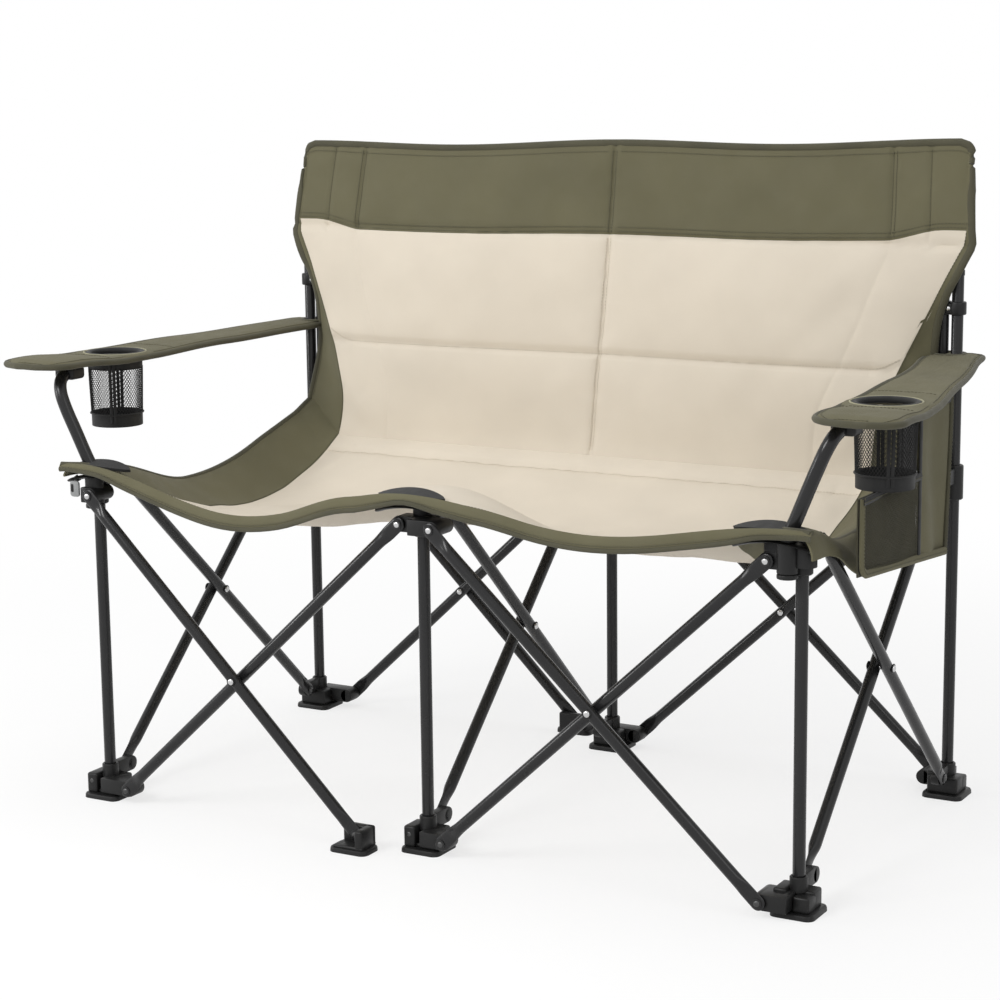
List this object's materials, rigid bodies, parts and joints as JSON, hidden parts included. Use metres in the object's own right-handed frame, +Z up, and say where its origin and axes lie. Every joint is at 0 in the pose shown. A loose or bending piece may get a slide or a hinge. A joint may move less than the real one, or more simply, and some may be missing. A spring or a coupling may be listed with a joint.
{
  "type": "folding camping loveseat",
  "caption": "Folding camp loveseat: scissor-linked steel tube frame with sliding hubs, sewn sling seat and back, strap arms with mesh cup holders and a side pocket.",
  "frame": {"origin": "on the floor, under the middle of the loveseat's box", "axes": "+X to the right seen from the front, +Y to the back, +Z up"},
  "size_m": [1.272, 0.6804, 0.9],
  "materials": {
    "black_tube": "satin black powder coat on steel tube",
    "black_plastic": "matte black moulded nylon",
    "rivet_steel": "bright zinc rivets",
    "beige_canvas": "quilted beige polyester canvas",
    "olive_canvas": "olive polyester canvas with darker binding",
    "black_mesh": "open black polyester mesh"
  },
  "bodies": {
    "rear_centre_post": {"rear_post_centre": "black_tube", "rear_foot_centre": "black_plastic", "collar_centre": "black_plastic"},
    "rear_right_bar_a": {"rear_bar_right_a": "black_tube", "rear_rivet_right": "rivet_steel"},
    "rear_right_bar_b": {"rear_bar_right_b": "black_tube"},
    "rear_right_post": {"rear_post_right": "black_tube", "rear_foot_right": "black_plastic", "collar_right": "black_plastic"},
    "rear_centre_hub": {"rear_hub_centre": "black_plastic", "back_tube_centre": "black_tube", "back_panel": "beige_canvas"},
    "rear_right_hub": {"rear_hub_right": "black_plastic", "back_tube_right": "black_tube"},
    "rear_left_bar_a": {"rear_bar_left_a": "black_tube", "rear_rivet_left": "rivet_steel"},
    "rear_left_bar_b": {"rear_bar_left_b": "black_tube"},
    "rear_left_post": {"rear_post_left": "black_tube", "rear_foot_left": "black_plastic", "collar_left": "black_plastic"},
    "rear_free_foot": {"rear_foot_free": "black_plastic"},
    "rear_left_hub": {"rear_hub_left": "black_plastic", "back_tube_left": "black_tube"},
    "left_bar_a": {"side_bar_left_a": "black_tube", "side_rivet_left": "rivet_steel"},
    "left_bar_b": {"side_bar_left_b": "black_tube"},
    "front_left_post": {"front_post_left": "black_tube", "front_foot_left": "black_plastic"},
    "front_left_hub": {"front_hub_left": "black_plastic", "arm_tube_left": "black_tube", "arm_strap_left": "olive_canvas", "cup_holder_left": "black_mesh"},
    "centre_bar_a": {"side_bar_centre_a": "black_tube", "side_rivet_centre": "rivet_steel"},
    "centre_bar_b": {"side_bar_centre_b": "black_tube"},
    "front_centre_post": {"front_post_centre": "black_tube", "front_foot_centre": "black_plastic"},
    "front_centre_hub": {"front_hub_centre": "black_plastic"},
    "right_bar_a": {"side_bar_right_a": "black_tube", "side_rivet_right": "rivet_steel"},
    "right_bar_b": {"side_bar_right_b": "black_tube"},
    "front_right_post": {"front_post_right": "black_tube", "front_foot_right": "black_plastic"},
    "front_right_hub": {"front_hub_right": "black_plastic", "arm_tube_right": "black_tube", "arm_strap_right": "olive_canvas", "cup_holder_right": "black_mesh", "side_pocket": "olive_canvas"},
    "front_right_bar_a": {"front_bar_right_a": "black_tube", "front_rivet_right": "rivet_steel"},
    "front_right_bar_b": {"front_bar_right_b": "black_tube"},
    "front_left_bar_a": {"front_bar_left_a": "black_tube", "front_rivet_left": "rivet_steel"},
    "front_left_bar_b": {"front_bar_left_b": "black_tube"},
    "front_free_foot": {"front_foot_free": "black_plastic"},
    "seat_front_half": {"seat_front": "beige_canvas"},
    "seat_rear_half": {"seat_rear": "beige_canvas"}
  },
  "joints": [
    {"name": "fold", "type": "hinge", "parent": "rear_centre_post", "child": "rear_right_bar_a", "pos_m": [0.0355, 0.297, 0.02], "axis": [0, -1, 0], "range_deg": [0, 40], "deforming": ["seat_front", "seat_rear", "back_panel", "arm_strap_left", "arm_strap_right", "cup_holder_left", "cup_holder_right", "side_pocket"]},
    {"name": "rear_right_cross", "type": "hinge", "parent": "rear_right_bar_a", "child": "rear_right_bar_b", "pos_m": [0.2625, 0.314, 0.23], "axis": [0, 1, 0], "range_deg": [0, 80.2]},
    {"name": "rear_right_foot", "type": "hinge", "parent": "rear_right_bar_b", "child": "rear_right_post", "pos_m": [0.4895, 0.314, 0.02], "axis": [0, -1, 0], "range_deg": [0, 40.2]},
    {"name": "rear_centre_lift", "type": "hinge", "parent": "rear_right_bar_b", "child": "rear_centre_hub", "pos_m": [0.0355, 0.314, 0.44], "axis": [0, -1, 0], "range_deg": [0, 40.2]},
    {"name": "rear_right_lift", "type": "hinge", "parent": "rear_right_bar_a", "child": "rear_right_hub", "pos_m": [0.4895, 0.297, 0.44], "axis": [0, 1, 0], "range_deg": [0, 40.2]},
    {"name": "rear_left_top", "type": "hinge", "parent": "rear_centre_hub", "child": "rear_left_bar_a", "pos_m": [-0.022, 0.297, 0.44], "axis": [0, -1, 0], "range_deg": [0, 40.2]},
    {"name": "rear_left_foot", "type": "hinge", "parent": "rear_left_bar_a", "child": "rear_left_post", "pos_m": [-0.476, 0.297, 0.02], "axis": [0, 1, 0], "range_deg": [0, 40.2]},
    {"name": "rear_left_cross", "type": "hinge", "parent": "rear_left_bar_a", "child": "rear_left_bar_b", "pos_m": [-0.27382, 0.314, 0.20704], "axis": [0, 1, 0], "range_deg": [0, 74.23]},
    {"name": "rear_free_foot_turn", "type": "hinge", "parent": "rear_left_bar_b", "child": "rear_free_foot", "pos_m": [-0.085, 0.314, 0.02], "axis": [0, -1, 0], "range_deg": [0, 34.23]},
    {"name": "left_side_foot", "type": "hinge", "parent": "rear_left_post", "child": "left_bar_a", "pos_m": [-0.5163, 0.227, 0.036], "axis": [-1, 0, 0], "range_deg": [0, 40.2]},
    {"name": "left_side_cross", "type": "hinge", "parent": "left_bar_a", "child": "left_bar_b", "pos_m": [-0.5337, 0, 0.246], "axis": [1, 0, 0], "range_deg": [0, 80.2]},
    {"name": "front_left_foot", "type": "hinge", "parent": "left_bar_b", "child": "front_left_post", "pos_m": [-0.5337, -0.227, 0.036], "axis": [-1, 0, 0], "range_deg": [0, 40.2]},
    {"name": "front_left_lift", "type": "hinge", "parent": "left_bar_a", "child": "front_left_hub", "pos_m": [-0.5163, -0.227, 0.456], "axis": [1, 0, 0], "range_deg": [0, 40.2]},
    {"name": "centre_side_foot", "type": "hinge", "parent": "rear_centre_post", "child": "centre_bar_a", "pos_m": [0.0087, 0.227, 0.036], "axis": [-1, 0, 0], "range_deg": [0, 40.2]},
    {"name": "centre_side_cross", "type": "hinge", "parent": "centre_bar_a", "child": "centre_bar_b", "pos_m": [-0.0087, 0, 0.246], "axis": [1, 0, 0], "range_deg": [0, 80.2]},
    {"name": "front_centre_foot", "type": "hinge", "parent": "centre_bar_b", "child": "front_centre_post", "pos_m": [-0.0087, -0.227, 0.036], "axis": [-1, 0, 0], "range_deg": [0, 40.2]},
    {"name": "front_centre_lift", "type": "hinge", "parent": "centre_bar_a", "child": "front_centre_hub", "pos_m": [0.0087, -0.227, 0.456], "axis": [1, 0, 0], "range_deg": [0, 40.2]},
    {"name": "right_side_foot", "type": "hinge", "parent": "rear_right_post", "child": "right_bar_a", "pos_m": [0.5337, 0.227, 0.036], "axis": [-1, 0, 0], "range_deg": [0, 40.2]},
    {"name": "right_side_cross", "type": "hinge", "parent": "right_bar_a", "child": "right_bar_b", "pos_m": [0.5163, 0, 0.246], "axis": [1, 0, 0], "range_deg": [0, 80.2]},
    {"name": "front_right_foot", "type": "hinge", "parent": "right_bar_b", "child": "front_right_post", "pos_m": [0.5163, -0.227, 0.036], "axis": [-1, 0, 0], "range_deg": [0, 40.2]},
    {"name": "front_right_lift", "type": "hinge", "parent": "right_bar_a", "child": "front_right_hub", "pos_m": [0.5337, -0.227, 0.456], "axis": [1, 0, 0], "range_deg": [0, 40.2]},
    {"name": "rear_left_lift", "type": "hinge", "parent": "left_bar_b", "child": "rear_left_hub", "pos_m": [-0.5337, 0.227, 0.456], "axis": [-1, 0, 0], "range_deg": [0, 40.2]},
    {"name": "front_right_foot_turn", "type": "hinge", "parent": "front_centre_post", "child": "front_right_bar_a", "pos_m": [0.0355, -0.297, 0.02], "axis": [0, -1, 0], "range_deg": [0, 40.2]},
    {"name": "front_right_cross", "type": "hinge", "parent": "front_right_bar_a", "child": "front_right_bar_b", "pos_m": [0.2625, -0.314, 0.23], "axis": [0, 1, 0], "range_deg": [0, 80.2]},
    {"name": "front_left_foot_turn", "type": "hinge", "parent": "front_left_post", "child": "front_left_bar_a", "pos_m": [-0.476, -0.297, 0.02], "axis": [0, -1, 0], "range_deg": [0, 40.2]},
    {"name": "front_left_cross", "type": "hinge", "parent": "front_left_bar_a", "child": "front_left_bar_b", "pos_m": [-0.27382, -0.314, 0.20704], "axis": [0, 1, 0], "range_deg": [0, 74.23]},
    {"name": "front_free_foot_turn", "type": "hinge", "parent": "front_left_bar_b", "child": "front_free_foot", "pos_m": [-0.085, -0.314, 0.02], "axis": [0, -1, 0], "range_deg": [0, 34.23]},
    {"name": "seat_front_drop", "type": "hinge", "parent": "front_centre_hub", "child": "seat_front_half", "pos_m": [0, -0.3, 0.48], "axis": [-1, 0, 0], "range_deg": [0, 49.07]},
    {"name": "seat_rear_drop", "type": "hinge", "parent": "rear_centre_hub", "child": "seat_rear_half", "pos_m": [0, 0.204, 0.46], "axis": [1, 0, 0], "range_deg": [0, 68.37]}
  ],
  "couplings": [
    {"joint": "rear_right_cross", "follows": "fold", "ratio": 2},
    {"joint": "rear_right_foot", "follows": "fold", "ratio": 1},
    {"joint": "rear_centre_lift", "follows": "fold", "ratio": 1},
    {"joint": "rear_right_lift", "follows": "fold", "ratio": 1},
    {"joint": "rear_left_top", "follows": "fold", "ratio": 1},
    {"joint": "rear_left_foot", "follows": "fold", "ratio": 1},
    {"joint": "rear_left_cross", "follows": "fold", "ratio": 1.8507},
    {"joint": "rear_free_foot_turn", "follows": "fold", "ratio": 0.85071},
    {"joint": "left_side_foot", "follows": "fold", "ratio": 1},
    {"joint": "left_side_cross", "follows": "fold", "ratio": 2},
    {"joint": "front_left_foot", "follows": "fold", "ratio": 1},
    {"joint": "front_left_lift", "follows": "fold", "ratio": 1},
    {"joint": "centre_side_foot", "follows": "fold", "ratio": 1},
    {"joint": "centre_side_cross", "follows": "fold", "ratio": 2},
    {"joint": "front_centre_foot", "follows": "fold", "ratio": 1},
    {"joint": "front_centre_lift", "follows": "fold", "ratio": 1},
    {"joint": "right_side_foot", "follows": "fold", "ratio": 1},
    {"joint": "right_side_cross", "follows": "fold", "ratio": 2},
    {"joint": "front_right_foot", "follows": "fold", "ratio": 1},
    {"joint": "front_right_lift", "follows": "fold", "ratio": 1},
    {"joint": "rear_left_lift", "follows": "fold", "ratio": 1},
    {"joint": "front_right_foot_turn", "follows": "fold", "ratio": 1},
    {"joint": "front_right_cross", "follows": "fold", "ratio": 2},
    {"joint": "front_left_foot_turn", "follows": "fold", "ratio": 1},
    {"joint": "front_left_cross", "follows": "fold", "ratio": 1.8507},
    {"joint": "front_free_foot_turn", "follows": "fold", "ratio": 0.85071},
    {"joint": "seat_front_drop", "follows": "fold", "ratio": 1.2217},
    {"joint": "seat_rear_drop", "follows": "fold", "ratio": 1.7043}
  ]
}
